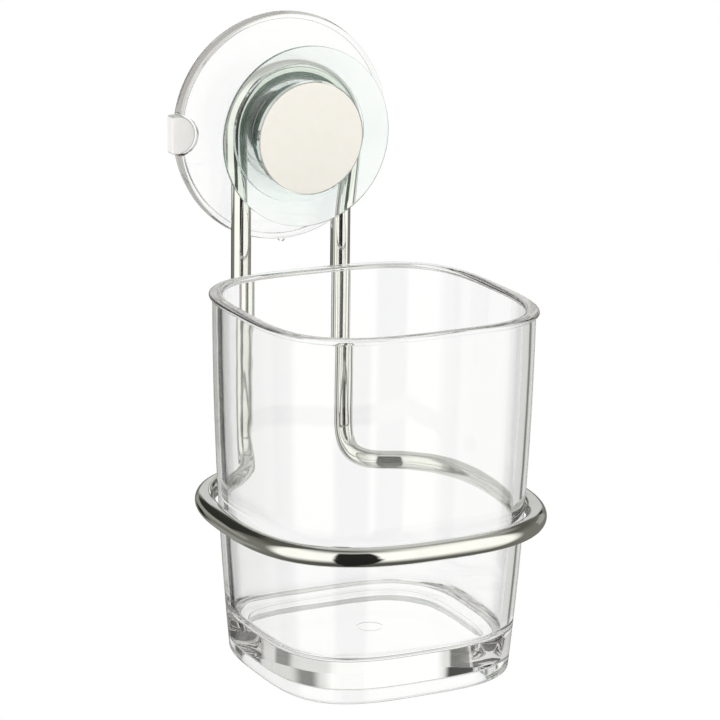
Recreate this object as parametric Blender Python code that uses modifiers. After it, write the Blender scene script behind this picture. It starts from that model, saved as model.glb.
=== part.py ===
"""A toothbrush tumbler that hangs in a chrome wire ring from a screw-down suction mount.

Units are metres. The wall is the plane Y = 0, the stem of the mount lies along Y, the front of the
object faces -Y and +Z is up. The turned pieces are drawn in wall space, where X is to the right, Y is
up and Z is the depth in front of the wall; one quarter turn about X brings them into the world.
"""
import math

import bmesh
import bpy
from mathutils import Vector

# General
GAP = 0.0003
CUT_OVERRUN = 0.001
WELD = 0.00001
TURN_STEPS = 56
SMALL_STEPS = 40
FILLET_STEPS = 2
SMOOTH_ANGLE = math.radians(32)
WALL_SPACE_TURN = math.radians(90)

# Suction pad
PAD_INSET = 0.0004
PAD_LIP = 0.0011
PAD_LIP_WIDTH = 0.0055
PAD_CAVITY = 0.0009
PAD_FRONT_DEPTH = 0.0021
PAD_BOSS_RADIUS = 0.0086
PAD_BOSS_DEPTH = 0.0043
PAD_SKIN = 0.0006
PAD_FILLET = 0.0004
TAB_RADIUS = 0.0050
TAB_PROUD = 0.0013
TAB_LIFT = 0.0003

# Stud
STUD_RADIUS = 0.0028
STUD_END_ROOM = 0.0010
STUD_HEAD_RADIUS = 0.0068
STUD_HEAD_THICKNESS = 0.0014
STUD_CLEARANCE = 0.0004
STUD_CHAMFER = 0.0006

# Cover dish
DISH_RADIUS = 0.0300
DISH_DRAFT = 0.0005
DISH_RIM_HEIGHT = 0.0027
DISH_WALL = 0.0017
DISH_PLATE = 0.0013
DISH_RISE = 0.0018
DISH_PLATEAU_MARGIN = 0.0015
DISH_FILLET = 0.0005
BOSS_WALL = 0.0018
BOSS_FILLET = 0.0003
SLEEVE_WALL = 0.0017
NOTCH_CLEARANCE = 0.0005
GATE_RADIUS = 0.0008
GATE_PROUD = 0.0005
GATE_HEIGHT = 0.0014

# Wire frame
WIRE_RADIUS = 0.0026
ARCH_RADIUS = 0.0143
RING_CLEARANCE = 0.0004
RING_POWER = 2.72
RING_DROP = 0.0877
BEND_DROP = 0.0090
BEND_FORWARD = 0.0082
BEND_OUT = 0.0100
BEND_PULL = 0.0088
ARCH_STEPS = 14
ROD_STEPS = 2
BEND_STEPS = 8
RING_STEPS = 56
WIRE_FACETS = 3

# Thrust washer
WASHER_RADIUS = 0.0168
WASHER_THICKNESS = 0.0008

# Knob
KNOB_RADIUS = 0.0234
KNOB_EDGE = 0.0010
KNOB_FACE_RISE = 0.0024
KNOB_HUB_RADIUS = 0.0125
KNOB_HUB_HEIGHT = 0.0036
KNOB_BACK_RISE = 0.0005
KNOB_EDGE_FILLET = 0.0003
CAP_RADIUS = 0.0144
CAP_THICKNESS = 0.0016
CAP_PROUD = 0.0003
CAP_FILLET = 0.0003
INSERT_RADIUS = 0.0050
INSERT_FLANGE = 0.0010
INSERT_FLANGE_THICKNESS = 0.0010
INSERT_BACK_INSET = 0.0004

# Tumbler
TUMBLER_TOP_DROP = 0.0338
TUMBLER_HEIGHT = 0.0945
RIM_HALF = 0.0369
LIP_PROUD = 0.0008
LIP_RISE = 0.0009
LIP_HEIGHT = 0.0017
BASE_HALF = 0.0318
SQUARENESS = 3.3
SIDE_BULGE = 0.0010
TUMBLER_WALL = 0.0024
FLOOR_HEIGHT = 0.0107
FLOOR_FILLET = 0.0032
BASE_EDGE_FILLET = 0.0018
FOOT_WIDTH = 0.0050
RECESS_DEPTH = 0.0032
RECESS_DRAFT = 0.0003
RECESS_FILLET = 0.0005
SECTION_POINTS = 64
WALL_LEVELS = 5
LIP_STEPS = 6
BEAD_STEPS = 2
CORNER_STEPS = 3

# The pad lies within the dish's rim
PAD_RADIUS = DISH_RADIUS - PAD_INSET

# Depths in front of the wall, worked out from the sizes above
PAD_POCKET_FLOOR = PAD_CAVITY + PAD_SKIN
STUD_BACK = PAD_POCKET_FLOOR + GAP
STUD_HEAD_FRONT = STUD_BACK + STUD_HEAD_THICKNESS
PAD_POCKET_ROOF = STUD_HEAD_FRONT + GAP
DISH_BACK = PAD_LIP + GAP
DISH_RIM_FRONT = DISH_BACK + DISH_RIM_HEIGHT
PLATEAU_FRONT = DISH_RIM_FRONT + DISH_RISE
WIRE_DEPTH = PLATEAU_FRONT + GAP + WIRE_RADIUS
WIRE_FRONT = WIRE_DEPTH + WIRE_RADIUS
WASHER_BACK = WIRE_FRONT + GAP
WASHER_FRONT = WASHER_BACK + WASHER_THICKNESS
HUB_BACK = WASHER_FRONT + GAP
KNOB_BACK = HUB_BACK + KNOB_HUB_HEIGHT
KNOB_EDGE_BACK = KNOB_BACK + KNOB_BACK_RISE
KNOB_EDGE_FRONT = KNOB_EDGE_BACK + KNOB_EDGE
KNOB_FRONT = KNOB_EDGE_FRONT + KNOB_FACE_RISE
CAP_FRONT = KNOB_FRONT + CAP_PROUD
CAP_BACK = CAP_FRONT - CAP_THICKNESS
CAP_SEAT = CAP_BACK - GAP
INSERT_FRONT = CAP_SEAT - GAP
INSERT_BACK = HUB_BACK + INSERT_BACK_INSET
STUD_FRONT = CAP_BACK - STUD_END_ROOM
BOSS_RADIUS = ARCH_RADIUS - WIRE_RADIUS - GAP
BOSS_FRONT = WIRE_FRONT
PLATEAU_RADIUS = ARCH_RADIUS + WIRE_RADIUS + DISH_PLATEAU_MARGIN
STUD_BORE = STUD_RADIUS + STUD_CLEARANCE


def side_half(height_share):
    """The tumbler's outer half width at a share of its height, a straight taper that swells a little."""
    swell = 4 * SIDE_BULGE * height_share * (1 - height_share)
    return BASE_HALF + (RIM_HALF - LIP_PROUD - BASE_HALF) * height_share + swell


def corner_reach(power):
    """How far a rounded square reaches at its corners, for a half width of one."""
    return 2 ** (1 / 2 - 1 / power)


# The ring goes round the tumbler and holds it at its corners
RING_SHARE = (TUMBLER_TOP_DROP + TUMBLER_HEIGHT - RING_DROP) / TUMBLER_HEIGHT
TUMBLER_CORNER = side_half(RING_SHARE) * corner_reach(SQUARENESS)
RING_HALF = (TUMBLER_CORNER + RING_CLEARANCE + WIRE_RADIUS) / corner_reach(RING_POWER)

# The ring and the tumbler share one centre, far enough out for the ring's back to meet the bends
RING_BACK_DEPTH = WIRE_DEPTH + BEND_FORWARD
CENTRE_DEPTH = RING_BACK_DEPTH + RING_HALF


def clear_scene():
    """Empties the scene without touching the user's settings."""
    for thing in list(bpy.data.objects):
        bpy.data.objects.remove(thing, do_unlink=True)
    for group in list(bpy.data.collections):
        bpy.data.collections.remove(group)


def make_collection(name):
    """Adds one collection to the scene."""
    group = bpy.data.collections.new(name)
    bpy.context.scene.collection.children.link(group)
    return group


def make_material(name, colour, roughness, metallic=0.0, transmission=0.0):
    """Makes one plain surface for a sub-part."""
    material = bpy.data.materials.new(name)
    material.use_nodes = True
    shader = material.node_tree.nodes["Principled BSDF"]
    shader.inputs["Base Color"].default_value = (*colour, 1.0)
    shader.inputs["Roughness"].default_value = roughness
    shader.inputs["Metallic"].default_value = metallic
    shader.inputs["Transmission Weight"].default_value = transmission
    material.diffuse_color = (*colour, 1.0)
    return material


def add_object(name, data, group, material=None):
    """Links one object to its collection and gives it its material."""
    thing = bpy.data.objects.new(name, data)
    group.objects.link(thing)
    if material:
        data.materials.append(material)
    return thing


def add_cutter(name, data):
    """Links a cutting tool, which is never rendered."""
    thing = add_object(name, data, CUTTERS)
    thing.hide_render = True
    thing.display_type = "WIRE"
    return thing


def mesh_from(name, bm):
    """Turns an edited mesh into mesh data."""
    bmesh.ops.recalc_face_normals(bm, faces=bm.faces)
    data = bpy.data.meshes.new(name)
    bm.to_mesh(data)
    bm.free()
    return data


def apply_modifiers(thing):
    """Bakes an object's modifiers into its mesh."""
    graph = bpy.context.evaluated_depsgraph_get()
    data = bpy.data.meshes.new_from_object(thing.evaluated_get(graph))
    old = thing.data
    thing.modifiers.clear()
    thing.data = data
    bpy.data.meshes.remove(old)


def shade(thing):
    """Smooth faces that keep their sharp edges."""
    thing.data.shade_smooth()
    thing.data.set_sharp_from_angle(angle=SMOOTH_ANGLE)


def combine(thing, cutter, operation):
    """Cuts with a tool or joins it on."""
    step = thing.modifiers.new(cutter.name, "BOOLEAN")
    step.operation = operation
    step.object = cutter
    step.solver = "EXACT"


def soften(corners):
    """Rounds each corner (x, z, fillet) of an outline by an arc that starts and ends on its sides."""
    points = []
    last = len(corners) - 1
    for index, (x, z, fillet) in enumerate(corners):
        here = Vector((x, z))
        if not fillet or index in (0, last):
            points.append(here)
            continue
        before = Vector(corners[index - 1][:2]) - here
        after = Vector(corners[index + 1][:2]) - here
        opening = before.angle(after)
        reach = min(fillet / math.tan(opening / 2), before.length / 2, after.length / 2)
        radius = reach * math.tan(opening / 2)
        halfway = (before.normalized() + after.normalized()).normalized()
        middle = here + halfway * (radius / math.sin(opening / 2))
        start = here + before.normalized() * reach - middle
        end = here + after.normalized() * reach - middle
        sweep = start.angle_signed(end)
        for step in range(FILLET_STEPS + 1):
            angle = -sweep * step / FILLET_STEPS
            turned = Vector((start.x * math.cos(angle) - start.y * math.sin(angle),
                             start.x * math.sin(angle) + start.y * math.cos(angle)))
            points.append(middle + turned)
    return points


def turned(name, corners, group, material=None, closed=False, steps=TURN_STEPS):
    """A solid turned about the stem: its outline runs down the outer side, from the front to the wall."""
    outline = soften(corners)
    bm = bmesh.new()
    rail = [bm.verts.new((point.x, 0, point.y)) for point in outline]
    for start, end in zip(rail, rail[1:]):
        bm.edges.new((start, end))
    if closed:
        bm.edges.new((rail[-1], rail[0]))
    data = bpy.data.meshes.new(name)
    bm.to_mesh(data)
    bm.free()
    thing = add_object(name, data, group, material)
    thing.rotation_euler.x = WALL_SPACE_TURN
    spin = thing.modifiers.new("turn", "SCREW")
    spin.axis = "Z"
    spin.steps = steps
    spin.render_steps = steps
    spin.use_merge_vertices = True
    spin.merge_threshold = WELD
    return thing


def round_tool(name, radius, low, high, centre):
    """A plain cylinder in wall space, from one depth to another."""
    bm = bmesh.new()
    bmesh.ops.create_cone(bm, cap_ends=True, segments=SMALL_STEPS, radius1=radius, radius2=radius,
                          depth=high - low)
    bmesh.ops.translate(bm, verts=bm.verts, vec=(centre[0], centre[1], (high + low) / 2))
    tool = add_cutter(name, mesh_from(name, bm))
    tool.rotation_euler.x = WALL_SPACE_TURN
    return tool


def rounded_square(half, level):
    """One level section of the tumbler: a square whose corners round off by a power law."""
    points = []
    for step in range(SECTION_POINTS):
        angle = math.tau * step / SECTION_POINTS
        along, across = math.cos(angle), math.sin(angle)
        reach = half * (abs(along) ** SQUARENESS + abs(across) ** SQUARENESS) ** (-1 / SQUARENESS)
        points.append(Vector((reach * along, reach * across - CENTRE_DEPTH, level)))
    return points


def loft(name, sections, group, material):
    """A closed solid through a chain of level sections, capped at both ends."""
    bm = bmesh.new()
    rings = [[bm.verts.new(point) for point in section] for section in sections]
    count = len(rings[0])
    for lower, upper in zip(rings, rings[1:]):
        for step in range(count):
            ahead = (step + 1) % count
            bm.faces.new((lower[step], lower[ahead], upper[ahead], upper[step]))
    bm.faces.new(rings[0])
    bm.faces.new(reversed(rings[-1]))
    return add_object(name, mesh_from(name, bm), group, material)


def make_suction_pad():
    """The soft pad: a flat sealing lip, a shallow cavity, a boss that holds the stud and a pull tab."""
    lip_inner = PAD_RADIUS - PAD_LIP_WIDTH
    pocket = STUD_HEAD_RADIUS + GAP
    bore = STUD_RADIUS + GAP
    pad = turned("suction_pad", [
        (0, PAD_POCKET_FLOOR, 0),
        (pocket, PAD_POCKET_FLOOR, 0),
        (pocket, PAD_POCKET_ROOF, 0),
        (bore, PAD_POCKET_ROOF, 0),
        (bore, PAD_BOSS_DEPTH, 0),
        (PAD_BOSS_RADIUS, PAD_BOSS_DEPTH, PAD_FILLET),
        (PAD_BOSS_RADIUS, PAD_FRONT_DEPTH, PAD_FILLET),
        (lip_inner, PAD_LIP, 0),
        (PAD_RADIUS, PAD_LIP, PAD_FILLET),
        (PAD_RADIUS, 0, 0),
        (lip_inner, 0, 0),
        (STUD_HEAD_RADIUS, PAD_CAVITY, 0),
        (0, PAD_CAVITY, 0),
    ], OBJECT, PAD_MATERIAL)
    tab = round_tool("pull_tab_form", TAB_RADIUS, TAB_LIFT, DISH_RIM_FRONT - TAB_LIFT, (-DISH_RADIUS, 0))
    trim = bmesh.new()
    bmesh.ops.create_cube(trim, size=1)
    trim_half = TAB_RADIUS + CUT_OVERRUN
    trim_left = -DISH_RADIUS - TAB_PROUD - 2 * trim_half
    bmesh.ops.scale(trim, verts=trim.verts, vec=(2 * trim_half, 2 * trim_half, 2 * trim_half))
    bmesh.ops.translate(trim, verts=trim.verts, vec=(trim_left + trim_half, 0, DISH_RIM_FRONT / 2))
    flat = add_cutter("pull_tab_trim", mesh_from("pull_tab_trim", trim))
    flat.rotation_euler.x = WALL_SPACE_TURN
    combine(tab, flat, "DIFFERENCE")
    apply_modifiers(tab)
    combine(pad, tab, "UNION")
    apply_modifiers(pad)
    return pad


def make_stud():
    """The stud: a flat head inside the pad and a plain shank that runs forward into the knob."""
    return turned("stud", [
        (0, STUD_FRONT, 0),
        (STUD_RADIUS - STUD_CHAMFER, STUD_FRONT, 0),
        (STUD_RADIUS, STUD_FRONT - STUD_CHAMFER, 0),
        (STUD_RADIUS, STUD_HEAD_FRONT, 0),
        (STUD_HEAD_RADIUS, STUD_HEAD_FRONT, 0),
        (STUD_HEAD_RADIUS, STUD_BACK, 0),
        (0, STUD_BACK, 0),
    ], OBJECT, METAL_MATERIAL, steps=SMALL_STEPS)


def make_cover_dish():
    """The rigid dish: a drafted rim, a low dome, and a cupped boss that the wire's arch goes round."""
    floor_back = PAD_BOSS_DEPTH + GAP
    floor_front = floor_back + DISH_PLATE
    inner_rim = DISH_RADIUS - DISH_WALL
    boss_inner = BOSS_RADIUS - BOSS_WALL
    sleeve = STUD_BORE + SLEEVE_WALL
    plate_back = PLATEAU_FRONT - DISH_PLATE
    pad_room = PAD_BOSS_RADIUS + GAP
    dish = turned("cover_dish", [
        (STUD_BORE, BOSS_FRONT, 0),
        (sleeve, BOSS_FRONT, 0),
        (sleeve, floor_front, BOSS_FILLET),
        (boss_inner, floor_front, BOSS_FILLET),
        (boss_inner, BOSS_FRONT, BOSS_FILLET),
        (BOSS_RADIUS, BOSS_FRONT, BOSS_FILLET),
        (BOSS_RADIUS, PLATEAU_FRONT, 0),
        (PLATEAU_RADIUS, PLATEAU_FRONT, DISH_FILLET),
        (inner_rim, DISH_RIM_FRONT, 0),
        (DISH_RADIUS - DISH_DRAFT, DISH_RIM_FRONT, DISH_FILLET),
        (DISH_RADIUS, DISH_BACK, 0),
        (inner_rim, DISH_BACK, 0),
        (inner_rim, DISH_RIM_FRONT - DISH_PLATE, DISH_FILLET),
        (PLATEAU_RADIUS, plate_back, 0),
        (pad_room, plate_back, 0),
        (pad_room, floor_back, 0),
        (STUD_BORE, floor_back, 0),
    ], OBJECT, DISH_MATERIAL, closed=True)
    notch = round_tool("notch_tool", TAB_RADIUS + NOTCH_CLEARANCE, DISH_BACK - CUT_OVERRUN,
                       DISH_RIM_FRONT + CUT_OVERRUN, (-DISH_RADIUS, 0))
    gate_middle = DISH_BACK + DISH_RIM_HEIGHT / 2
    gate = round_tool("gate_form", GATE_RADIUS, gate_middle - GATE_HEIGHT / 2, gate_middle + GATE_HEIGHT / 2,
                      (0, GATE_RADIUS - DISH_RADIUS - GATE_PROUD))
    combine(dish, notch, "DIFFERENCE")
    combine(dish, gate, "UNION")
    apply_modifiers(dish)
    return dish


def ring_point(angle):
    """A point of the ring's centre line, by its bearing from the ring's centre."""
    along, across = math.cos(angle), math.sin(angle)
    reach = RING_HALF * (abs(along) ** RING_POWER + abs(across) ** RING_POWER) ** (-1 / RING_POWER)
    return Vector((reach * along, reach * across - CENTRE_DEPTH, -RING_DROP))


def bend_route(side):
    """The bend from an upright, straight down, into the back of the ring, outward."""
    start = Vector((side * ARCH_RADIUS, -WIRE_DEPTH, BEND_DROP - RING_DROP))
    join = join_angle(side)
    end = ring_point(join)
    ahead = (ring_point(join - side * math.tau / RING_STEPS) - end).normalized()
    pull_down = start + Vector((0, 0, -BEND_PULL))
    pull_in = end - ahead * BEND_PULL
    route = []
    for step in range(BEND_STEPS):
        share = step / BEND_STEPS
        rest = 1 - share
        route.append(start * rest ** 3 + pull_down * 3 * rest ** 2 * share
                     + pull_in * 3 * rest * share ** 2 + end * share ** 3)
    return route


def join_angle(side):
    """The bearing at which a bend has become part of the ring."""
    return math.radians(90) - side * math.atan2(ARCH_RADIUS + BEND_OUT, RING_HALF)


def make_wire_frame():
    """One closed wire: the arch round the boss, two uprights, two bends and the ring."""
    route = []
    for step in range(ARCH_STEPS + 1):
        angle = math.pi * step / ARCH_STEPS
        route.append(Vector((ARCH_RADIUS * math.cos(angle), -WIRE_DEPTH, ARCH_RADIUS * math.sin(angle))))
    rod_foot = BEND_DROP - RING_DROP
    for step in range(1, ROD_STEPS):
        route.append(Vector((-ARCH_RADIUS, -WIRE_DEPTH, rod_foot * step / ROD_STEPS)))
    route += bend_route(-1)
    first, last = join_angle(-1), join_angle(1) + math.tau
    for step in range(RING_STEPS + 1):
        route.append(ring_point(first + (last - first) * step / RING_STEPS))
    route += reversed(bend_route(1))
    for step in range(1, ROD_STEPS):
        route.append(Vector((ARCH_RADIUS, -WIRE_DEPTH, rod_foot * (ROD_STEPS - step) / ROD_STEPS)))
    curve = bpy.data.curves.new("wire_route", "CURVE")
    curve.dimensions = "3D"
    curve.bevel_depth = WIRE_RADIUS
    curve.bevel_resolution = WIRE_FACETS
    curve.twist_mode = "MINIMUM"
    line = curve.splines.new("POLY")
    line.points.add(len(route) - 1)
    for point, place in zip(line.points, route):
        point.co = (*place, 1)
    line.use_cyclic_u = True
    holder = bpy.data.objects.new("wire_route", curve)
    CUTTERS.objects.link(holder)
    graph = bpy.context.evaluated_depsgraph_get()
    data = bpy.data.meshes.new_from_object(holder.evaluated_get(graph))
    bpy.data.objects.remove(holder, do_unlink=True)
    bm = bmesh.new()
    bm.from_mesh(data)
    bmesh.ops.remove_doubles(bm, verts=bm.verts, dist=WELD)
    bpy.data.meshes.remove(data)
    return add_object("wire_frame", mesh_from("wire_frame", bm), OBJECT, CHROME_MATERIAL)


def make_thrust_washer():
    """The washer that spreads the knob's push over the wire's arch."""
    return turned("thrust_washer", [
        (STUD_BORE, WASHER_FRONT, 0),
        (WASHER_RADIUS, WASHER_FRONT, 0),
        (WASHER_RADIUS, WASHER_BACK, 0),
        (STUD_BORE, WASHER_BACK, 0),
    ], OBJECT, WASHER_MATERIAL, closed=True)


def make_knob():
    """The clear knob: a thin edge, a conical front with a seat for the cap, and a hub at the back."""
    bore = INSERT_RADIUS + GAP
    flange_room = INSERT_RADIUS + INSERT_FLANGE + GAP
    flange_seat = INSERT_FRONT - INSERT_FLANGE_THICKNESS - GAP
    cap_room = CAP_RADIUS + GAP
    return turned("knob", [
        (bore, flange_seat, 0),
        (flange_room, flange_seat, 0),
        (flange_room, CAP_SEAT, 0),
        (cap_room, CAP_SEAT, 0),
        (cap_room, KNOB_FRONT, 0),
        (KNOB_RADIUS, KNOB_EDGE_FRONT, KNOB_EDGE_FILLET),
        (KNOB_RADIUS, KNOB_EDGE_BACK, KNOB_EDGE_FILLET),
        (KNOB_HUB_RADIUS, KNOB_BACK, 0),
        (KNOB_HUB_RADIUS, HUB_BACK, KNOB_EDGE_FILLET),
        (bore, HUB_BACK, 0),
    ], OBJECT, KNOB_MATERIAL, closed=True)


def make_threaded_insert():
    """The flanged metal bushing in the knob that runs on the stud."""
    bore = STUD_RADIUS + GAP
    flange = INSERT_RADIUS + INSERT_FLANGE
    flange_back = INSERT_FRONT - INSERT_FLANGE_THICKNESS
    return turned("threaded_insert", [
        (bore, INSERT_FRONT, 0),
        (flange, INSERT_FRONT, 0),
        (flange, flange_back, 0),
        (INSERT_RADIUS, flange_back, 0),
        (INSERT_RADIUS, INSERT_BACK, 0),
        (bore, INSERT_BACK, 0),
    ], OBJECT, METAL_MATERIAL, closed=True, steps=SMALL_STEPS)


def make_knob_cap():
    """The off-white disc that closes the front of the knob."""
    return turned("knob_cap", [
        (0, CAP_FRONT, 0),
        (CAP_RADIUS, CAP_FRONT, CAP_FILLET),
        (CAP_RADIUS, CAP_BACK, 0),
        (0, CAP_BACK, 0),
    ], OBJECT, CAP_MATERIAL)


def make_tumbler():
    """The clear cup: thick floor, inner wall, beaded lip, outer wall, foot and the hollow under it."""
    top = -TUMBLER_TOP_DROP
    bottom = top - TUMBLER_HEIGHT
    lip = (TUMBLER_WALL + LIP_PROUD) / 2
    floor = bottom + FLOOR_HEIGHT

    def outer(level):
        return side_half((level - bottom) / TUMBLER_HEIGHT)

    sections = []
    corner = floor + FLOOR_FILLET
    corner_half = outer(corner) - TUMBLER_WALL
    for step in range(CORNER_STEPS + 1):
        angle = math.radians(90) * step / CORNER_STEPS
        sections.append(rounded_square(corner_half - FLOOR_FILLET * (1 - math.sin(angle)),
                                       corner - FLOOR_FILLET * math.cos(angle)))
    wall_top = top - LIP_RISE
    for step in range(1, WALL_LEVELS):
        level = corner + (wall_top - corner) * step / WALL_LEVELS
        sections.append(rounded_square(outer(level) - TUMBLER_WALL, level))
    for step in range(LIP_STEPS + 1):
        angle = math.pi * step / LIP_STEPS
        sections.append(rounded_square(RIM_HALF - lip * (1 + math.cos(angle)),
                                       wall_top + LIP_RISE * math.sin(angle)))
    bead = top - LIP_HEIGHT
    bead_half = outer(bead)
    proud = RIM_HALF - bead_half
    underside = LIP_HEIGHT - LIP_RISE
    for step in range(1, BEAD_STEPS + 1):
        angle = math.radians(90) * step / BEAD_STEPS
        sections.append(rounded_square(bead_half + proud * math.cos(angle),
                                       bead + underside * (1 - math.sin(angle))))
    foot = bottom + BASE_EDGE_FILLET
    for step in range(1, WALL_LEVELS + 1):
        level = bead + (foot - bead) * step / WALL_LEVELS
        sections.append(rounded_square(outer(level), level))
    for step in range(1, CORNER_STEPS + 1):
        angle = math.radians(90) * step / CORNER_STEPS
        sections.append(rounded_square(outer(foot) - BASE_EDGE_FILLET * (1 - math.cos(angle)),
                                       foot - BASE_EDGE_FILLET * math.sin(angle)))
    recess_half = BASE_HALF - FOOT_WIDTH
    sections.append(rounded_square(recess_half, bottom))
    roof = bottom + RECESS_DEPTH
    roof_half = recess_half - RECESS_DRAFT
    for step in range(CORNER_STEPS + 1):
        angle = math.radians(90) * step / CORNER_STEPS
        sections.append(rounded_square(roof_half - RECESS_FILLET * (1 - math.cos(angle)),
                                       roof - RECESS_FILLET * (1 - math.sin(angle))))
    return loft("tumbler", sections, OBJECT, TUMBLER_MATERIAL)


clear_scene()
OBJECT = make_collection("toothbrush_tumbler")
CUTTERS = make_collection("cutters")
CUTTERS.hide_render = True

PAD_MATERIAL = make_material("soft_clear", (0.90, 0.92, 0.92), 0.35, transmission=0.6)
METAL_MATERIAL = make_material("plated_steel", (0.70, 0.70, 0.68), 0.25, metallic=1.0)
DISH_MATERIAL = make_material("clear_rigid", (0.95, 0.97, 0.97), 0.05, transmission=0.9)
CHROME_MATERIAL = make_material("chrome", (0.80, 0.80, 0.79), 0.06, metallic=1.0)
WASHER_MATERIAL = make_material("natural_nylon", (0.93, 0.93, 0.90), 0.40)
KNOB_MATERIAL = make_material("clear_aqua", (0.62, 0.90, 0.86), 0.05, transmission=0.9)
CAP_MATERIAL = make_material("off_white", (0.91, 0.88, 0.81), 0.35)
TUMBLER_MATERIAL = make_material("clear_cup", (0.96, 0.97, 0.98), 0.04, transmission=0.95)

for make in (make_suction_pad, make_stud, make_cover_dish, make_wire_frame, make_thrust_washer, make_knob,
             make_threaded_insert, make_knob_cap, make_tumbler):
    make()

for piece in OBJECT.objects:
    if piece.modifiers:
        apply_modifiers(piece)
    shade(piece)
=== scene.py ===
"""The looks of a toothbrush tumbler that hangs in a chrome wire ring from a suction mount.

Units are metres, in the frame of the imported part: the wall is the plane Y = 0, the front of the object
faces -Y and +Z is up. A turned piece is drawn as an outline of (radius, depth in front of the wall, fillet).
"""
import math

import bmesh
import bpy
from mathutils import Matrix, Vector


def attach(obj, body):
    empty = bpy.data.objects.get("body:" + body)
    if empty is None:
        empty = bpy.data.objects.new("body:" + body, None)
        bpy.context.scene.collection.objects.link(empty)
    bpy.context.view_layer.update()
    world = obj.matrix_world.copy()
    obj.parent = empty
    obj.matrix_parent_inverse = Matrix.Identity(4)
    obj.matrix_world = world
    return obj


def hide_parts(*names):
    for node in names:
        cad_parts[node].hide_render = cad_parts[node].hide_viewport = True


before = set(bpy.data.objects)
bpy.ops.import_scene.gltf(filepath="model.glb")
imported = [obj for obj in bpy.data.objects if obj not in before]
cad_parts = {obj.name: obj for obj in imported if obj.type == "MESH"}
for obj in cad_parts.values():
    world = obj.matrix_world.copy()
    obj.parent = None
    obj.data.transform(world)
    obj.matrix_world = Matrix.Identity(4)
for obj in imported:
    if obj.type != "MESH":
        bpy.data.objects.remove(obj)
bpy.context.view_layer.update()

# General
GAP = 0.0003
OVERRUN = 0.001
WELD = 0.000001
TURN_STEPS = 192
SMALL_STEPS = 64
FILLET_STEPS = 6
SMOOTH_ANGLE = math.radians(38)
QUARTER_TURN = math.radians(90)
CIRCLE_POWER = 2

# Suction pad
DISH_RADIUS = 0.0300
PAD_INSET = 0.0004
PAD_RADIUS = DISH_RADIUS - PAD_INSET
PAD_LIP = 0.0011
PAD_LIP_WIDTH = 0.0055
PAD_CAVITY = 0.0009
PAD_FRONT_DEPTH = 0.0021
PAD_BOSS_RADIUS = 0.0086
PAD_BOSS_DEPTH = 0.0043
PAD_SKIN = 0.0006
PAD_FILLET = 0.0004
STUD_RADIUS = 0.0028
STUD_HEAD_RADIUS = 0.0068
STUD_HEAD_THICKNESS = 0.0014
TAB_RADIUS = 0.0050
TAB_PROUD = 0.0013
TAB_LIFT = 0.0003
TAB_ROUNDING = 0.0004
TAB_ROUNDING_STEPS = 3

# Cover dish
DISH_DRAFT = 0.0005
DISH_RIM_HEIGHT = 0.0027
DISH_WALL = 0.0017
DISH_PLATE = 0.0013
DISH_RISE = 0.0018
DISH_PLATEAU_MARGIN = 0.0015
DISH_FILLET = 0.0005
BOSS_WALL = 0.0018
BOSS_FILLET = 0.0003
SLEEVE_WALL = 0.0017
STUD_CLEARANCE = 0.0004
STUD_BORE = STUD_RADIUS + STUD_CLEARANCE
NOTCH_CLEARANCE = 0.0005
GATE_RADIUS = 0.0008
GATE_PROUD = 0.0005
GATE_HEIGHT = 0.0014

# Wire frame
WIRE_RADIUS = 0.0026
ARCH_RADIUS = 0.0143
RING_CLEARANCE = 0.0004
RING_POWER = 2.72
RING_DROP = 0.0877
BEND_DROP = 0.0090
BEND_FORWARD = 0.0082
BEND_OUT = 0.0100
BEND_PULL = 0.0088
ARCH_STEPS = 48
ROD_STEPS = 12
BEND_STEPS = 32
RING_STEPS = 240
WIRE_FACETS = 12

# Knob and cap
WASHER_THICKNESS = 0.0008
KNOB_RADIUS = 0.0234
KNOB_EDGE = 0.0010
KNOB_FACE_RISE = 0.0024
KNOB_HUB_RADIUS = 0.0125
KNOB_HUB_HEIGHT = 0.0036
KNOB_BACK_RISE = 0.0005
KNOB_EDGE_FILLET = 0.0003
CAP_RADIUS = 0.0144
CAP_THICKNESS = 0.0016
CAP_PROUD = 0.0003
CAP_FILLET = 0.0003
INSERT_RADIUS = 0.0050
INSERT_FLANGE = 0.0010
INSERT_FLANGE_THICKNESS = 0.0010

# Tumbler
TUMBLER_TOP_DROP = 0.0338
TUMBLER_HEIGHT = 0.0945
RIM_HALF = 0.0369
LIP_PROUD = 0.0008
LIP_RISE = 0.0009
LIP_HEIGHT = 0.0017
BASE_HALF = 0.0318
SQUARENESS = 3.3
SIDE_BULGE = 0.0010
TUMBLER_WALL = 0.0024
FLOOR_HEIGHT = 0.0107
FLOOR_FILLET = 0.0032
BASE_EDGE_FILLET = 0.0018
FOOT_WIDTH = 0.0050
RECESS_DEPTH = 0.0032
RECESS_DRAFT = 0.0003
RECESS_FILLET = 0.0005
MARK_RADIUS = 0.0038
MARK_STEP = 0.00035
MARK_DEPTH = 0.00007
SECTION_POINTS = 256
WALL_LEVELS = 28
LIP_STEPS = 14
BEAD_STEPS = 6
CORNER_STEPS = 8

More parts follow.
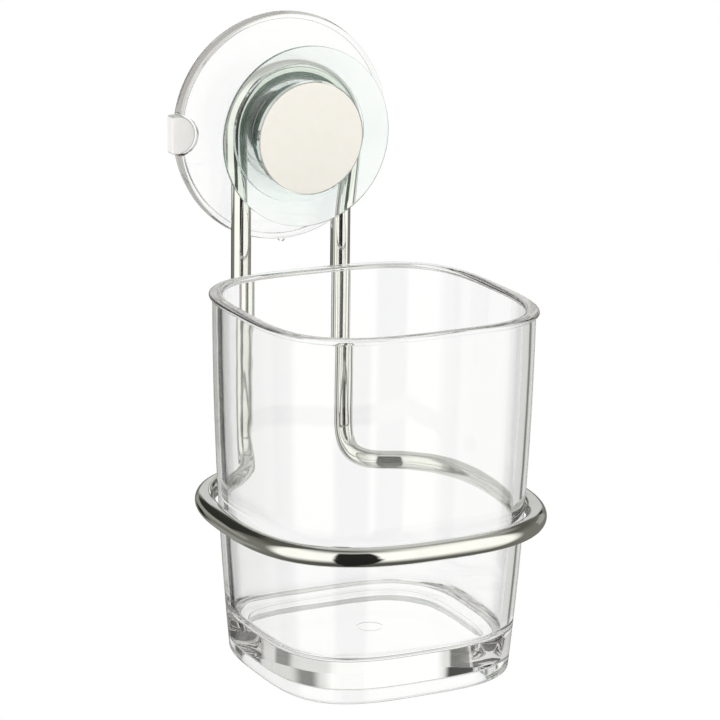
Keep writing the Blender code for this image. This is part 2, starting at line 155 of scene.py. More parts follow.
# Depths in front of the wall, and two radii that follow the wire's
PAD_POCKET_FLOOR = PAD_CAVITY + PAD_SKIN
PAD_POCKET_ROOF = PAD_POCKET_FLOOR + GAP + STUD_HEAD_THICKNESS + GAP
DISH_BACK = PAD_LIP + GAP
DISH_RIM_FRONT = DISH_BACK + DISH_RIM_HEIGHT
PLATEAU_FRONT = DISH_RIM_FRONT + DISH_RISE
PLATEAU_RADIUS = ARCH_RADIUS + WIRE_RADIUS + DISH_PLATEAU_MARGIN
WIRE_DEPTH = PLATEAU_FRONT + GAP + WIRE_RADIUS
WIRE_FRONT = WIRE_DEPTH + WIRE_RADIUS
BOSS_RADIUS = ARCH_RADIUS - WIRE_RADIUS - GAP
HUB_BACK = WIRE_FRONT + GAP + WASHER_THICKNESS + GAP
KNOB_BACK = HUB_BACK + KNOB_HUB_HEIGHT
KNOB_EDGE_BACK = KNOB_BACK + KNOB_BACK_RISE
KNOB_EDGE_FRONT = KNOB_EDGE_BACK + KNOB_EDGE
KNOB_FRONT = KNOB_EDGE_FRONT + KNOB_FACE_RISE
CAP_FRONT = KNOB_FRONT + CAP_PROUD
CAP_BACK = CAP_FRONT - CAP_THICKNESS
CAP_SEAT = CAP_BACK - GAP
INSERT_FRONT = CAP_SEAT - GAP

# Levels of the tumbler
CUP_TOP = -TUMBLER_TOP_DROP
CUP_BOTTOM = CUP_TOP - TUMBLER_HEIGHT
CUP_FLOOR = CUP_BOTTOM + FLOOR_HEIGHT
WALL_TOP = CUP_TOP - LIP_RISE
BEAD_FOOT = CUP_TOP - LIP_HEIGHT
EDGE_TOP = CUP_BOTTOM + BASE_EDGE_FILLET
RECESS_ROOF = CUP_BOTTOM + RECESS_DEPTH

# Camera, with its sensor's width in millimetres
CAMERA_YAW = math.radians(26.976)
CAMERA_PITCH = math.radians(15.129)
CAMERA_ROLL = math.radians(0.817)
CAMERA_DISTANCE = 0.88235
CAMERA_AIM = Vector((0.00714, -0.03529, -0.05554))
IMAGE_PIXELS = 720
FOCAL_PIXELS = 3443.9
SENSOR = 36.0

# Finishes: the two colours that a surface wanders between, the range of its roughness, the waves of its
# grain in a metre and how deep they are
FINISHES = {
    "clear_cup": (((0.985, 0.99, 0.99), (0.995, 0.995, 0.995)), (0.0, 0.015), 60, 0.00003),
    "clear_rigid": (((0.985, 0.99, 0.99), (0.995, 0.995, 0.995)), (0.0, 0.03), 80, 0.00003),
    "clear_aqua": (((0.955, 0.972, 0.966), (0.963, 0.972, 0.970)), (0.0, 0.02), 80, 0.00003),
    "soft_clear": (((0.98, 0.985, 0.985), (0.995, 0.99, 0.99)), (0.04, 0.12), 90, 0.00004),
    "chrome": (((0.80, 0.80, 0.78), (0.86, 0.86, 0.84)), (0.02, 0.06), 120, 0.000005),
    "plated_steel": (((0.62, 0.62, 0.60), (0.72, 0.72, 0.70)), (0.15, 0.30), 400, 0.00001),
    "natural_nylon": (((0.96, 0.97, 0.96), (0.98, 0.98, 0.98)), (0.02, 0.08), 200, 0.000005),
    "off_white": (((0.97, 0.935, 0.845), (0.99, 0.955, 0.875)), (0.28, 0.40), 300, 0.00001),
}
RIGID_IOR = 1.50
SOFT_IOR = 1.45
# Noise lies mostly in this range. The fine noise has so many waves to one of the broad noise
NOISE_RANGE = (0.3, 0.7)
BROAD_DETAIL = 2.0
FINE_DETAIL = 3.0
FINE_WAVES = 6

# Tints of the knob and of the cup's thick parts
AQUA_TINT = (0.40, 0.86, 0.73)
AQUA_DENSITY = 26
CUP_TINT = (0.40, 0.33, 0.26)
CUP_DENSITY = 1.2

# The pull tab's milky colour, a grey painted shade for its round edge, and the shares of its radius over
# which the milky colour sets in and the painted shade greys the edge
MILKY = (1.0, 0.985, 0.96)
MILKY_PAINTED_SHADE = (0.62, 0.60, 0.57)
MILKY_SHARES = (1.04, 1.01)
PAINTED_SHADE_SHARES = (0.90, 0.99)

# Studio: bearings and heights in degrees, bearings to the camera's right
LIGHT_BOUNCES = 48
FLOOR_DROP = 0.60
FLOOR_REACH = 6.0
FLOOR_TONE = (1.0, 1.0, 1.0)
FLOOR_ROUGHNESS = 0.9
PLAIN_LIGHT = (1.0, 1.0, 1.0)
PLAIN_STRENGTH = 1.0
CEILING = (0.10, 0.10, 0.085)
# Panels: edges of bearing and height, each with its softness, and a colour. Those behind the object
# take their bearings from the point behind it, and differ for bare metal and for light led by clear walls.
METAL_PANELS = (
    ((-100, 100, 20), (-50, 24, 36), (0.20, 0.20, 0.175)),
    ((20, 110, 20), (44, 90, 14), (0.38, 0.38, 0.35)),
    ((-64, -20, 14), (20, 44, 10), (0.035, 0.035, 0.03)),
    ((-75, -24, 6), (-36, -23, 5), (0.33, 0.33, 0.30)),
    ((-75, -24, 6), (-8, 7, 5), (0.33, 0.33, 0.30)),
    ((-62, -27, 6), (6, 26, 5), (0.030, 0.030, 0.027)),
    ((-22, 19, 6), (5, 26, 5), (0.66, 0.66, 0.65)),
    ((-42, -28, 6), (-24, -9, 5), (0.010, 0.010, 0.008)),
    ((28, 50, 6), (-5, 18, 6), (0.38, 0.38, 0.345)),
    ((21, 27, 3), (10, 20, 3), (0.030, 0.030, 0.027)),
)
GLASS_PANELS = (
    ((-100, 100, 20), (-50, 24, 36), (0.20, 0.20, 0.19)),
    ((-70, 60, 10), (-72, 28, 12), (0.80, 0.80, 0.78)),
    ((-17, 20, 6), (-72, 28, 12), (1.12, 1.12, 1.10)),
    ((-46, -20, 4), (-30, -4, 8), (0.035, 0.035, 0.033)),
    ((-46, -23, 3), (-2, 23, 5), (0.17, 0.17, 0.16)),
    ((25, 33, 5), (-44, 6, 10), (0.22, 0.22, 0.21)),
    ((37, 44, 3), (12, 30, 6), (0.30, 0.30, 0.29)),
)
FRONT_PANELS = (
    ((-80, 95, 18), (-38, 62, 48), (1.20, 1.20, 1.12)),
    ((-13, 25, 5), (-90, 58, 16), (0.020, 0.020, 0.018)),
    ((-14, 28, 5), (-70, -6, 10), (0.020, 0.020, 0.018)),
)
# Gloss that looks almost straight down shows a dark ground: the heights over which it sets in, and its tone
UNDERFOOT = ((-78, -90), (0.012, 0.012, 0.010))
# Clear pieces show a paler ceiling, and their edges, which reflect twice, a beige front
LED_CEILING = (0.62, 0.62, 0.60)
TWICE_FRONT = ((-95, 95, 20), (-91, 91, 1), (0.50, 0.48, 0.455))
# What lies beyond clear pieces: white, but darker high up
CLEAR_HEIGHTS = (13, 23)
BEYOND = (0.30, 0.30, 0.29)
# Light that has run some way, or a long way, inside a clear wall
RUN = (0.12, 0.12, 0.117)
RUN_ON = (0.80, 0.80, 0.79)
# Counts of bounces lie between two whole numbers
ONCE = 0.5
TWICE = 1.5
RUN_BOUNCES = 2.5
RUN_ON_BOUNCES = 5.5


def side_half(height_share):
    """The tumbler's outer half width at a share of its height, a straight taper that swells a little."""
    swell = 4 * SIDE_BULGE * height_share * (1 - height_share)
    return BASE_HALF + (RIM_HALF - LIP_PROUD - BASE_HALF) * height_share + swell


def corner_reach(power):
    """How far a rounded square reaches at its corners, for a half width of one."""
    return 2 ** (1 / 2 - 1 / power)


RING_SHARE = (TUMBLER_TOP_DROP + TUMBLER_HEIGHT - RING_DROP) / TUMBLER_HEIGHT
TUMBLER_CORNER = side_half(RING_SHARE) * corner_reach(SQUARENESS)
RING_HALF = (TUMBLER_CORNER + RING_CLEARANCE + WIRE_RADIUS) / corner_reach(RING_POWER)
CENTRE_DEPTH = WIRE_DEPTH + BEND_FORWARD + RING_HALF


def arc(steps, first=0, sweep=QUARTER_TURN):
    """Even angles up to a sweep, from the first step on."""
    return [sweep * step / steps for step in range(first, steps + 1)]


def mesh_object(name, bm):
    """Turns an edited mesh into an object whose faces point out."""
    bmesh.ops.recalc_face_normals(bm, faces=bm.faces)
    data = bpy.data.meshes.new(name)
    bm.to_mesh(data)
    bm.free()
    thing = bpy.data.objects.new(name, data)
    bpy.context.scene.collection.objects.link(thing)
    return thing


def apply_modifiers(thing):
    """Bakes an object's modifiers into its mesh."""
    graph = bpy.context.evaluated_depsgraph_get()
    data = bpy.data.meshes.new_from_object(thing.evaluated_get(graph))
    old = thing.data
    thing.modifiers.clear()
    thing.data = data
    bpy.data.meshes.remove(old)


def combine(thing, tool, operation):
    """Cuts with a tool or joins it on, and puts the tool away."""
    step = thing.modifiers.new(tool.name, "BOOLEAN")
    step.operation = operation
    step.object = tool
    step.solver = "EXACT"
    apply_modifiers(thing)
    bpy.data.objects.remove(tool, do_unlink=True)


def finish_piece(thing, body, node, material):
    """Shades a piece, gives it its material and puts it in the place of its CAD node."""
    thing.data.materials.clear()
    thing.data.materials.append(material)
    thing.data.shade_smooth()
    thing.data.set_sharp_from_angle(angle=SMOOTH_ANGLE)
    weigh = thing.modifiers.new("flat faces stay flat", "WEIGHTED_NORMAL")
    weigh.keep_sharp = True
    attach(thing, body)
    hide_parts(node)


def soften(corners):
    """Rounds each corner (radius, depth, fillet) of an outline by an arc that meets its sides."""
    points = []
    last = len(corners) - 1
    for index, (across, depth, fillet) in enumerate(corners):
        here = Vector((across, depth))
        if not fillet or index in (0, last):
            points.append(here)
            continue
        before = Vector(corners[index - 1][:2]) - here
        after = Vector(corners[index + 1][:2]) - here
        opening = before.angle(after)
        reach = min(fillet / math.tan(opening / 2), before.length / 2, after.length / 2)
        radius = reach * math.tan(opening / 2)
        halfway = (before.normalized() + after.normalized()).normalized()
        middle = here + halfway * (radius / math.sin(opening / 2))
        start = here + before.normalized() * reach - middle
        end = here + after.normalized() * reach - middle
        sweep = start.angle_signed(end)
        for step in range(FILLET_STEPS + 1):
            angle = -sweep * step / FILLET_STEPS
            turn = Matrix.Rotation(angle, 2)
            points.append(middle + turn @ start)
    return points


def turned(name, corners, closed=False):
    """A solid turned about the stem from an outline of (radius, depth, fillet)."""
    outline = soften(corners)
    bm = bmesh.new()
    rings = []
    for step in range(TURN_STEPS):
        angle = math.tau * step / TURN_STEPS
        rings.append([bm.verts.new((point.x * math.cos(angle), -point.y, point.x * math.sin(angle)))
                      for point in outline])
    count = len(outline)
    spans = count if closed else count - 1
    for step in range(TURN_STEPS):
        here, ahead = rings[step], rings[(step + 1) % TURN_STEPS]
        for index in range(spans):
            after = (index + 1) % count
            bm.faces.new((here[index], here[after], ahead[after], ahead[index]))
    bmesh.ops.remove_doubles(bm, verts=bm.verts, dist=WELD)
    return mesh_object(name, bm)


def round_tool(name, radius, low, high, centre):
    """A plain cylinder along the stem, from one depth to another."""
    bm = bmesh.new()
    bmesh.ops.create_cone(bm, cap_ends=True, segments=SMALL_STEPS, radius1=radius, radius2=radius,
                          depth=high - low)
    bmesh.ops.rotate(bm, verts=bm.verts, matrix=Matrix.Rotation(QUARTER_TURN, 3, "X"))
    bmesh.ops.translate(bm, verts=bm.verts, vec=(centre[0], -(high + low) / 2, centre[1]))
    return mesh_object(name, bm)


def make_suction_pad():
    """The soft pad with its sealing lip, its boss and its pull tab."""
    lip_inner = PAD_RADIUS - PAD_LIP_WIDTH
    pocket = STUD_HEAD_RADIUS + GAP
    bore = STUD_RADIUS + GAP
    pad = turned("soft_pad", [
        (0, PAD_POCKET_FLOOR, 0),
        (pocket, PAD_POCKET_FLOOR, 0),
        (pocket, PAD_POCKET_ROOF, 0),
        (bore, PAD_POCKET_ROOF, 0),
        (bore, PAD_BOSS_DEPTH, 0),
        (PAD_BOSS_RADIUS, PAD_BOSS_DEPTH, PAD_FILLET),
        (PAD_BOSS_RADIUS, PAD_FRONT_DEPTH, PAD_FILLET),
        (lip_inner, PAD_LIP, 0),
        (PAD_RADIUS, PAD_LIP, PAD_FILLET),
        (PAD_RADIUS, 0, 0),
        (lip_inner, 0, 0),
        (STUD_HEAD_RADIUS, PAD_CAVITY, 0),
        (0, PAD_CAVITY, 0),
    ])
    tab = round_tool("tab", TAB_RADIUS, TAB_LIFT, DISH_RIM_FRONT - TAB_LIFT, (-DISH_RADIUS, 0))
    trim = bmesh.new()
    bmesh.ops.create_cube(trim, size=1)
    half = TAB_RADIUS + OVERRUN
    bmesh.ops.scale(trim, verts=trim.verts, vec=(2 * half, 2 * half, 2 * half))
    bmesh.ops.translate(trim, verts=trim.verts, vec=(-DISH_RADIUS - TAB_PROUD - half, -DISH_RIM_FRONT / 2, 0))
    combine(tab, mesh_object("trim", trim), "DIFFERENCE")
    round_off = tab.modifiers.new("rounding", "BEVEL")
    round_off.width = TAB_ROUNDING
    round_off.segments = TAB_ROUNDING_STEPS
    apply_modifiers(tab)
    combine(pad, tab, "UNION")
    finish_piece(pad, "wall_mount", "suction_pad", soft_clear())


def make_cover_dish():
    """The rigid dish with its drafted rim, low dome, cupped boss, notch and gate nub."""
    floor_back = PAD_BOSS_DEPTH + GAP
    floor_front = floor_back + DISH_PLATE
    inner_rim = DISH_RADIUS - DISH_WALL
    boss_inner = BOSS_RADIUS - BOSS_WALL
    sleeve = STUD_BORE + SLEEVE_WALL
    plate_back = PLATEAU_FRONT - DISH_PLATE
    pad_room = PAD_BOSS_RADIUS + GAP
    dish = turned("clear_dish", [
        (STUD_BORE, WIRE_FRONT, 0),
        (sleeve, WIRE_FRONT, 0),
        (sleeve, floor_front, BOSS_FILLET),
        (boss_inner, floor_front, BOSS_FILLET),
        (boss_inner, WIRE_FRONT, BOSS_FILLET),
        (BOSS_RADIUS, WIRE_FRONT, BOSS_FILLET),
        (BOSS_RADIUS, PLATEAU_FRONT, 0),
        (PLATEAU_RADIUS, PLATEAU_FRONT, DISH_FILLET),
        (inner_rim, DISH_RIM_FRONT, 0),
        (DISH_RADIUS - DISH_DRAFT, DISH_RIM_FRONT, DISH_FILLET),
        (DISH_RADIUS, DISH_BACK, 0),
        (inner_rim, DISH_BACK, 0),
        (inner_rim, DISH_RIM_FRONT - DISH_PLATE, DISH_FILLET),
        (PLATEAU_RADIUS, plate_back, 0),
        (pad_room, plate_back, 0),
        (pad_room, floor_back, 0),
        (STUD_BORE, floor_back, 0),
    ], closed=True)
    notch = round_tool("notch", TAB_RADIUS + NOTCH_CLEARANCE, DISH_BACK - OVERRUN, DISH_RIM_FRONT + OVERRUN,
                       (-DISH_RADIUS, 0))
    combine(dish, notch, "DIFFERENCE")
    middle = DISH_BACK + DISH_RIM_HEIGHT / 2
    gate = round_tool("gate", GATE_RADIUS, middle - GATE_HEIGHT / 2, middle + GATE_HEIGHT / 2,
                      (0, GATE_RADIUS - DISH_RADIUS - GATE_PROUD))
    combine(dish, gate, "UNION")
    finish_piece(dish, "wall_mount", "cover_dish", clear_rigid())


def square_point(half, level, power, angle):
    """A point of a level square that rounds off by a power law about the cup's axis, by its bearing."""
    along, across = math.cos(angle), math.sin(angle)
    reach = half * (abs(along) ** power + abs(across) ** power) ** (-1 / power)
    return Vector((reach * along, reach * across - CENTRE_DEPTH, level))


def ring_point(angle):
    """A point of the ring's centre line, by its bearing from the ring's centre."""
    return square_point(RING_HALF, -RING_DROP, RING_POWER, angle)


def join_angle(side):
    """The bearing at which a bend has become part of the ring."""
    return QUARTER_TURN - side * math.atan2(ARCH_RADIUS + BEND_OUT, RING_HALF)


def bend_route(side):
    """The bend from an upright, straight down, into the back of the ring, outward."""
    start = Vector((side * ARCH_RADIUS, -WIRE_DEPTH, BEND_DROP - RING_DROP))
    join = join_angle(side)
    end = ring_point(join)
    ahead = (ring_point(join - side * math.tau / RING_STEPS) - end).normalized()
    pull_down = start + Vector((0, 0, -BEND_PULL))
    pull_in = end - ahead * BEND_PULL
    route = []
    for step in range(BEND_STEPS):
        share = step / BEND_STEPS
        rest = 1 - share
        route.append(start * rest ** 3 + pull_down * 3 * rest ** 2 * share
                     + pull_in * 3 * rest * share ** 2 + end * share ** 3)
    return route


def wire_route():
    """The wire's centre line: the arch round the boss, two uprights, two bends and the ring."""
    route = []
    for angle in arc(ARCH_STEPS, sweep=math.pi):
        route.append(Vector((ARCH_RADIUS * math.cos(angle), -WIRE_DEPTH, ARCH_RADIUS * math.sin(angle))))
    rod_foot = BEND_DROP - RING_DROP
    for step in range(1, ROD_STEPS):
        route.append(Vector((-ARCH_RADIUS, -WIRE_DEPTH, rod_foot * step / ROD_STEPS)))
    route += bend_route(-1)
    first, last = join_angle(-1), join_angle(1) + math.tau
    for step in range(RING_STEPS + 1):
        route.append(ring_point(first + (last - first) * step / RING_STEPS))
    route += reversed(bend_route(1))
    for step in range(1, ROD_STEPS):
        route.append(Vector((ARCH_RADIUS, -WIRE_DEPTH, rod_foot * (ROD_STEPS - step) / ROD_STEPS)))
    return route


def make_wire_frame():
    """One closed round wire along its route."""
    route = wire_route()
    curve = bpy.data.curves.new("wire_route", "CURVE")
    curve.dimensions = "3D"
    curve.bevel_depth = WIRE_RADIUS
    curve.bevel_resolution = WIRE_FACETS
    curve.twist_mode = "MINIMUM"
    line = curve.splines.new("POLY")
    line.points.add(len(route) - 1)
    for point, place in zip(line.points, route):
        point.co = (*place, 1)
    line.use_cyclic_u = True
    holder = bpy.data.objects.new("wire_route", curve)
    bpy.context.scene.collection.objects.link(holder)
    graph = bpy.context.evaluated_depsgraph_get()
    data = bpy.data.meshes.new_from_object(holder.evaluated_get(graph))
    bpy.data.objects.remove(holder, do_unlink=True)
    bm = bmesh.new()
    bm.from_mesh(data)
    bmesh.ops.remove_doubles(bm, verts=bm.verts, dist=WELD)
    bpy.data.meshes.remove(data)
    finish_piece(mesh_object("bent_wire", bm), "frame", "wire_frame", chrome())


def make_knob():
    """The clear knob: a thin edge, a conical front with a seat for the cap, and a hub at the back."""
    bore = INSERT_RADIUS + GAP
    flange_room = INSERT_RADIUS + INSERT_FLANGE + GAP
    flange_seat = INSERT_FRONT - INSERT_FLANGE_THICKNESS - GAP
    cap_room = CAP_RADIUS + GAP
    knob = turned("clear_knob", [
        (bore, flange_seat, 0),
        (flange_room, flange_seat, 0),
        (flange_room, CAP_SEAT, 0),
        (cap_room, CAP_SEAT, 0),
        (cap_room, KNOB_FRONT, 0),
        (KNOB_RADIUS, KNOB_EDGE_FRONT, KNOB_EDGE_FILLET),
        (KNOB_RADIUS, KNOB_EDGE_BACK, KNOB_EDGE_FILLET),
        (KNOB_HUB_RADIUS, KNOB_BACK, 0),
        (KNOB_HUB_RADIUS, HUB_BACK, KNOB_EDGE_FILLET),
        (bore, HUB_BACK, 0),
    ], closed=True)
    finish_piece(knob, "knob", "knob", clear_aqua())


def make_knob_cap():
    """The off-white disc that closes the front of the knob."""
    cap = turned("cap_disc", [
        (0, CAP_FRONT, 0),
        (CAP_RADIUS, CAP_FRONT, CAP_FILLET),
        (CAP_RADIUS, CAP_BACK, 0),
        (0, CAP_BACK, 0),
    ])
    finish_piece(cap, "knob", "knob_cap", off_white())


def level_section(half, level, power=SQUARENESS):
    """One level section of the tumbler."""
    return [square_point(half, level, power, math.tau * step / SECTION_POINTS)
            for step in range(SECTION_POINTS)]


def loft(name, sections):
    """A closed solid through a chain of level sections, capped at both ends."""
    bm = bmesh.new()
    rings = [[bm.verts.new(point) for point in section] for section in sections]
    count = len(rings[0])
    for lower, upper in zip(rings, rings[1:]):
        for step in range(count):
            ahead = (step + 1) % count
            bm.faces.new((lower[step], lower[ahead], upper[ahead], upper[step]))
    bm.faces.new(rings[0])
    bm.faces.new(reversed(rings[-1]))
    return mesh_object(name, bm)


def outer_half(level):
    """The tumbler's outer half width at a level."""
    return side_half((level - CUP_BOTTOM) / TUMBLER_HEIGHT)


def cup_inside():
    """Half widths and levels of the fillet over the floor and of the inner wall, going up."""
    corner = CUP_FLOOR + FLOOR_FILLET
    corner_half = outer_half(corner) - TUMBLER_WALL
    profile = [(corner_half - FLOOR_FILLET * (1 - math.sin(angle)), corner - FLOOR_FILLET * math.cos(angle))
               for angle in arc(CORNER_STEPS)]
    for step in range(1, WALL_LEVELS):
        level = corner + (WALL_TOP - corner) * step / WALL_LEVELS
        profile.append((outer_half(level) - TUMBLER_WALL, level))
    return profile


def cup_lip():
    """Half widths and levels over the round lip and under its bead."""
    lip = (TUMBLER_WALL + LIP_PROUD) / 2
    bead_half = outer_half(BEAD_FOOT)
    proud = RIM_HALF - bead_half
    underside = LIP_HEIGHT - LIP_RISE
    over = [(RIM_HALF - lip * (1 + math.cos(angle)), WALL_TOP + LIP_RISE * math.sin(angle))
            for angle in arc(LIP_STEPS, sweep=math.pi)]
    under = [(bead_half + proud * math.cos(angle), BEAD_FOOT + underside * (1 - math.sin(angle)))
             for angle in arc(BEAD_STEPS, first=1)]
    return over + under


def cup_outside():
    """Half widths and levels of the outer wall and the rounded edge of the base, going down."""
    levels = [BEAD_FOOT + (EDGE_TOP - BEAD_FOOT) * step / WALL_LEVELS for step in range(1, WALL_LEVELS + 1)]
    wall = [(outer_half(level), level) for level in levels]
    edge = [(outer_half(EDGE_TOP) - BASE_EDGE_FILLET * (1 - math.cos(angle)),
             EDGE_TOP - BASE_EDGE_FILLET * math.sin(angle)) for angle in arc(CORNER_STEPS, first=1)]
    return wall + edge


def cup_recess():
    """Half widths and levels of the hollow under the base, from the foot's inner edge to its roof."""
    recess_half = BASE_HALF - FOOT_WIDTH
    roof_half = recess_half - RECESS_DRAFT
    return [(recess_half, CUP_BOTTOM)] + [(roof_half - RECESS_FILLET * (1 - math.cos(angle)),
                                           RECESS_ROOF - RECESS_FILLET * (1 - math.sin(angle)))
                                          for angle in arc(CORNER_STEPS)]


def make_tumbler():
    """The clear cup: thick floor, inner wall, beaded lip, outer wall, foot, hollow and gate mark."""
    sections = [level_section(*place) for place in cup_inside() + cup_lip() + cup_outside() + cup_recess()]
    for step, depth in enumerate((0, MARK_DEPTH, MARK_DEPTH, 0)):
        sections.append(level_section(MARK_RADIUS - step * MARK_STEP, RECESS_ROOF + depth, CIRCLE_POWER))
    finish_piece(loft("clear_tumbler", sections), "tumbler", "tumbler", clear_cup())


class Nodes:
    """A short way to write a node tree: add gives the new node, the rest give an output."""

    def __init__(self, tree):
        self.tree = tree

    def add(self, kind, inputs=(), **settings):
        """Adds a node, with its settings and its inputs by name or number."""
        node = self.tree.nodes.new("ShaderNode" + kind)
        for key, value in settings.items():
            setattr(node, key, value)
        for key, value in dict(inputs).items():
            if isinstance(value, bpy.types.NodeSocket):
                self.tree.links.new(value, node.inputs[key])
            else:
                node.inputs[key].default_value = value
        return node

    def maths(self, operation, *values):
        """One step of arithmetic."""
        return self.add("Math", enumerate(values), operation=operation).outputs[0]

    def noise(self, scale, detail, where):
        """Soft noise, by its count of waves in a metre."""
        return self.add("TexNoise", {"Vector": where, "Scale": scale, "Detail": detail}).outputs["Fac"]

    def spread(self, value, low, high):
        """Maps noise onto a range."""
        least, most = NOISE_RANGE
        return self.add("MapRange", {"Value": value, "From Min": least, "From Max": most,
                                     "To Min": low, "To Max": high}).outputs["Result"]

    def ramp(self, value, start, end):
        """Rises smoothly from nought at one value to one at another."""
        return self.add("MapRange", {"Value": value, "From Min": start, "From Max": end},
                        interpolation_type="SMOOTHSTEP").outputs["Result"]

    def colour(self, tone):
        """A fixed colour."""
        node = self.add("RGB")
        node.outputs[0].default_value = (*tone, 1)
        return node.outputs[0]

    def blend(self, share, first, second):
        """Mixes two colours by a share."""
        mix = self.add("Mix", data_type="RGBA")
        sockets = {socket.name: socket for socket in mix.inputs if socket.enabled}
        self.tree.links.new(share, sockets["Factor"])
        self.tree.links.new(first, sockets["A"])
        self.tree.links.new(second, sockets["B"])
        return [socket for socket in mix.outputs if socket.enabled][0]


def surface(name, **numbers):
    """A material whose colour, gloss and surface wander a little, as a moulded or plated piece's do."""
    colours, roughness, grain, depth = FINISHES[name]
    material = bpy.data.materials.new(name)
    material.use_nodes = True
    tree = material.node_tree
    shader = tree.nodes["Principled BSDF"]
    nodes = Nodes(tree)
    where = nodes.add("TexCoord").outputs["Object"]
    broad = nodes.noise(grain, BROAD_DETAIL, where)
    first, second = (nodes.colour(tone) for tone in colours)
    tree.links.new(nodes.blend(nodes.spread(broad, 0, 1), first, second), shader.inputs["Base Color"])
    fine = nodes.noise(grain * FINE_WAVES, FINE_DETAIL, where)
    tree.links.new(nodes.spread(fine, *roughness), shader.inputs["Roughness"])
    bump = nodes.add("Bump", {"Height": broad, "Distance": depth})
    tree.links.new(bump.outputs["Normal"], shader.inputs["Normal"])
    for key, value in numbers.items():
        shader.inputs[key.replace("_", " ")].default_value = value
    return material


def tinted(material, tint, density):
    """Gives a clear material a colour that deepens the further light runs in it."""
    tree = material.node_tree
    depth = Nodes(tree).add("VolumeAbsorption", {"Color": (*tint, 1), "Density": density})
    tree.links.new(depth.outputs[0], tree.nodes["Material Output"].inputs["Volume"])
    return material


def clear_cup():
    """Clear styrene of the tumbler, a little warm where it is thick."""
    material = surface("clear_cup", Transmission_Weight=1.0, IOR=RIGID_IOR)
    return tinted(material, CUP_TINT, CUP_DENSITY)


def clear_rigid():
    """Clear rigid plastic of the dish."""
    return surface("clear_rigid", Transmission_Weight=1.0, IOR=RIGID_IOR)


def clear_aqua():
    """Aqua-tinted clear plastic of the knob."""
    material = surface("clear_aqua", Transmission_Weight=1.0, IOR=RIGID_IOR)
    return tinted(material, AQUA_TINT, AQUA_DENSITY)


def soft_clear():
    """Soft clear vinyl of the pad, whose thick pull tab looks milky, with painted shade greying its round
    edge.
    """
    material = surface("soft_clear", IOR=SOFT_IOR)
    tree = material.node_tree
    shader = tree.nodes["Principled BSDF"]
    nodes = Nodes(tree)
    where = nodes.add("SeparateXYZ", {0: nodes.add("TexCoord").outputs["Object"]}).outputs
    across = nodes.maths("POWER", nodes.maths("ADD", where["X"], DISH_RADIUS), 2)
    reach = nodes.maths("SQRT", nodes.maths("ADD", across, nodes.maths("POWER", where["Z"], 2)))
    milky = nodes.ramp(reach, *(TAB_RADIUS * share for share in MILKY_SHARES))
    # Painted shade: the tab's round edge is greyed, as if it lay in shadow beside the dish's notch
    edge = nodes.ramp(reach, *(TAB_RADIUS * share for share in PAINTED_SHADE_SHARES))
    clear = shader.inputs["Base Color"].links[0].from_socket
    milky_with_painted_shade = nodes.blend(edge, nodes.colour(MILKY), nodes.colour(MILKY_PAINTED_SHADE))
    tree.links.new(nodes.blend(milky, clear, milky_with_painted_shade), shader.inputs["Base Color"])
    tree.links.new(nodes.maths("SUBTRACT", 1, milky), shader.inputs["Transmission Weight"])
    return material


def chrome():
    """Bright chrome plating of the wire."""
    return surface("chrome", Metallic=1.0)


def plated_steel():
    """Zinc-plated steel of the stud and the insert."""
    return surface("plated_steel", Metallic=1.0)


def natural_nylon():
    """Clear nylon of the washer."""
    return surface("natural_nylon", Transmission_Weight=1.0, IOR=SOFT_IOR)


def off_white():
    """Satin off-white plastic of the cap."""
    return surface("off_white")


def make_camera():
    """The photograph's viewing angle."""
    back = Vector((-math.sin(CAMERA_YAW) * math.cos(CAMERA_PITCH),
                   -math.cos(CAMERA_YAW) * math.cos(CAMERA_PITCH), math.sin(CAMERA_PITCH)))
    right = Vector((math.cos(CAMERA_YAW), -math.sin(CAMERA_YAW), 0))
    turn = Matrix.Rotation(CAMERA_ROLL, 3, back)
    right = turn @ right
    up = back.cross(right)
    data = bpy.data.cameras.new("camera")
    data.sensor_width = SENSOR
    data.lens = FOCAL_PIXELS / IMAGE_PIXELS * SENSOR
    thing = bpy.data.objects.new("camera", data)
    bpy.context.scene.collection.objects.link(thing)
    place = CAMERA_AIM + CAMERA_DISTANCE * back
    axes = Matrix((right, up, back)).transposed().to_4x4()
    thing.matrix_world = Matrix.Translation(place) @ axes
    bpy.context.scene.camera = thing


def within(nodes, value, low, high, softness):
    """One between two values, falling off softly to nought outside them."""
    rise = nodes.ramp(value, low - softness / 2, low + softness / 2)
    fall = nodes.ramp(value, high + softness / 2, high - softness / 2)
    return nodes.maths("MULTIPLY", rise, fall)


def panelled(nodes, ground, bearing, height, panels):
    """Lays soft-edged panels over a ground, one after another."""
    for across, up, tone in panels:
        share = nodes.maths("MULTIPLY", within(nodes, bearing, *across), within(nodes, height, *up))
        ground = nodes.blend(share, ground, nodes.colour(tone))
    return ground


def directions(nodes):
    """Where a ray goes, in degrees: its bearing off straight behind and off straight before the object,
    both to the photograph's right, and its height."""
    parts = nodes.add("SeparateXYZ", {0: nodes.add("TexCoord").outputs["Generated"]}).outputs
    away = nodes.maths("ADD", nodes.maths("MULTIPLY", parts["X"], math.sin(CAMERA_YAW)),
                       nodes.maths("MULTIPLY", parts["Y"], math.cos(CAMERA_YAW)))
    aside = nodes.maths("SUBTRACT", nodes.maths("MULTIPLY", parts["X"], math.cos(CAMERA_YAW)),
                        nodes.maths("MULTIPLY", parts["Y"], math.sin(CAMERA_YAW)))
    behind = nodes.maths("DEGREES", nodes.maths("ARCTAN2", aside, away))
    toward = nodes.maths("MULTIPLY", away, -1)
    before = nodes.maths("DEGREES", nodes.maths("ARCTAN2", aside, toward))
    height = nodes.maths("DEGREES", nodes.maths("ARCSINE", parts["Z"]))
    return behind, before, height


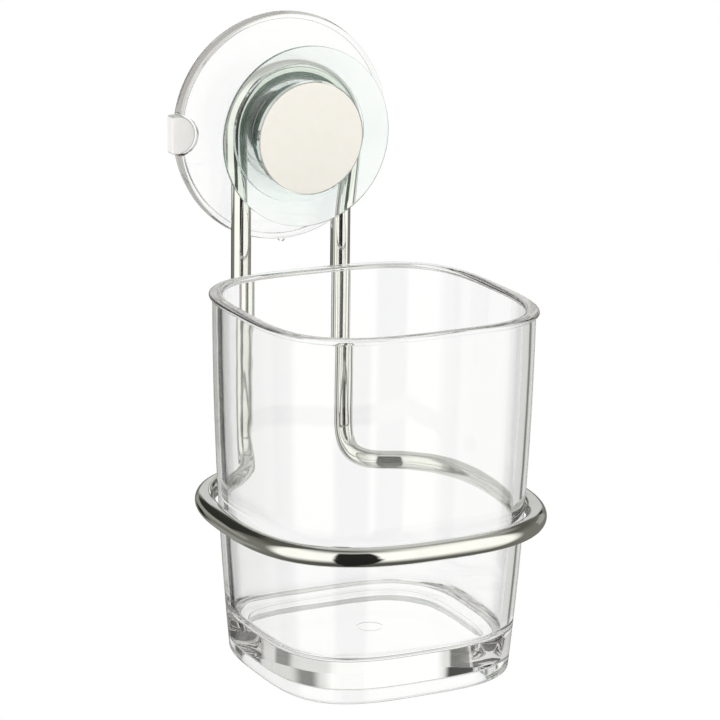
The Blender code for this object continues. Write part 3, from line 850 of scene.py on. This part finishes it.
def make_world():
    """A white studio: plain light, a white ground for clear pieces and panels that gloss shows."""
    world = bpy.data.worlds.new("studio")
    world.use_nodes = True
    bpy.context.scene.world = world
    tree = world.node_tree
    nodes = Nodes(tree)
    path = nodes.add("LightPath").outputs
    behind, before, height = directions(nodes)
    led = nodes.maths("GREATER_THAN", path["Transmission Depth"], ONCE)
    bounced = nodes.maths("GREATER_THAN", path["Glossy Depth"], ONCE)
    twice = nodes.maths("MULTIPLY", led, nodes.maths("GREATER_THAN", path["Glossy Depth"], TWICE))
    metal = panelled(nodes, nodes.colour(CEILING), behind, height, METAL_PANELS)
    glass = panelled(nodes, nodes.colour(LED_CEILING), behind, height, GLASS_PANELS)
    mirrored = panelled(nodes, nodes.blend(led, metal, glass), before, height, FRONT_PANELS)
    (edge, depth), tone = UNDERFOOT
    mirrored = nodes.blend(nodes.ramp(height, edge, depth), mirrored, nodes.colour(tone))
    mirrored = nodes.blend(twice, mirrored, panelled(nodes, mirrored, before, height, [TWICE_FRONT]))
    beyond = nodes.blend(nodes.ramp(height, *CLEAR_HEIGHTS), nodes.colour(PLAIN_LIGHT), nodes.colour(BEYOND))
    seen = nodes.blend(bounced, beyond, mirrored)
    for count, tone in ((RUN_BOUNCES, RUN), (RUN_ON_BOUNCES, RUN_ON)):
        further = nodes.maths("GREATER_THAN", path["Glossy Depth"], count)
        seen = nodes.blend(further, seen, nodes.colour(tone))
    direct = nodes.maths("SUBTRACT", 1, nodes.maths("MAXIMUM", led, bounced))
    plain = nodes.maths("MAXIMUM", direct, nodes.maths("GREATER_THAN", path["Diffuse Depth"], ONCE))
    light = tree.nodes["Background"]
    tree.links.new(nodes.blend(plain, seen, nodes.colour(PLAIN_LIGHT)), light.inputs["Color"])
    light.inputs["Strength"].default_value = PLAIN_STRENGTH


def make_floor():
    """A plain pale floor far below the hanging object, white to the eye but for the object's shadow."""
    bm = bmesh.new()
    bmesh.ops.create_grid(bm, x_segments=1, y_segments=1, size=FLOOR_REACH)
    bmesh.ops.translate(bm, verts=bm.verts, vec=(0, 0, -FLOOR_DROP))
    floor = mesh_object("floor", bm)
    material = bpy.data.materials.new("floor")
    material.use_nodes = True
    tree = material.node_tree
    shader = tree.nodes["Principled BSDF"]
    shader.inputs["Base Color"].default_value = (*FLOOR_TONE, 1)
    shader.inputs["Roughness"].default_value = FLOOR_ROUGHNESS
    shader.inputs["Specular IOR Level"].default_value = 0
    floor.data.materials.append(material)
    floor.visible_glossy = False
    floor.visible_transmission = False


def dress_inner_nodes():
    """The CAD nodes that stay get their finish."""
    for name, material in (("stud", plated_steel()), ("threaded_insert", plated_steel()),
                           ("thrust_washer", natural_nylon())):
        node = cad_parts[name]
        node.data.materials.clear()
        node.data.materials.append(material)


scene = bpy.context.scene
scene.view_settings.view_transform = "Standard"
scene.cycles.max_bounces = LIGHT_BOUNCES
scene.cycles.transmission_bounces = LIGHT_BOUNCES
scene.cycles.glossy_bounces = LIGHT_BOUNCES

make_suction_pad()
make_cover_dish()
make_wire_frame()
make_knob()
make_knob_cap()
make_tumbler()
dress_inner_nodes()
make_floor()
make_world()
make_camera()
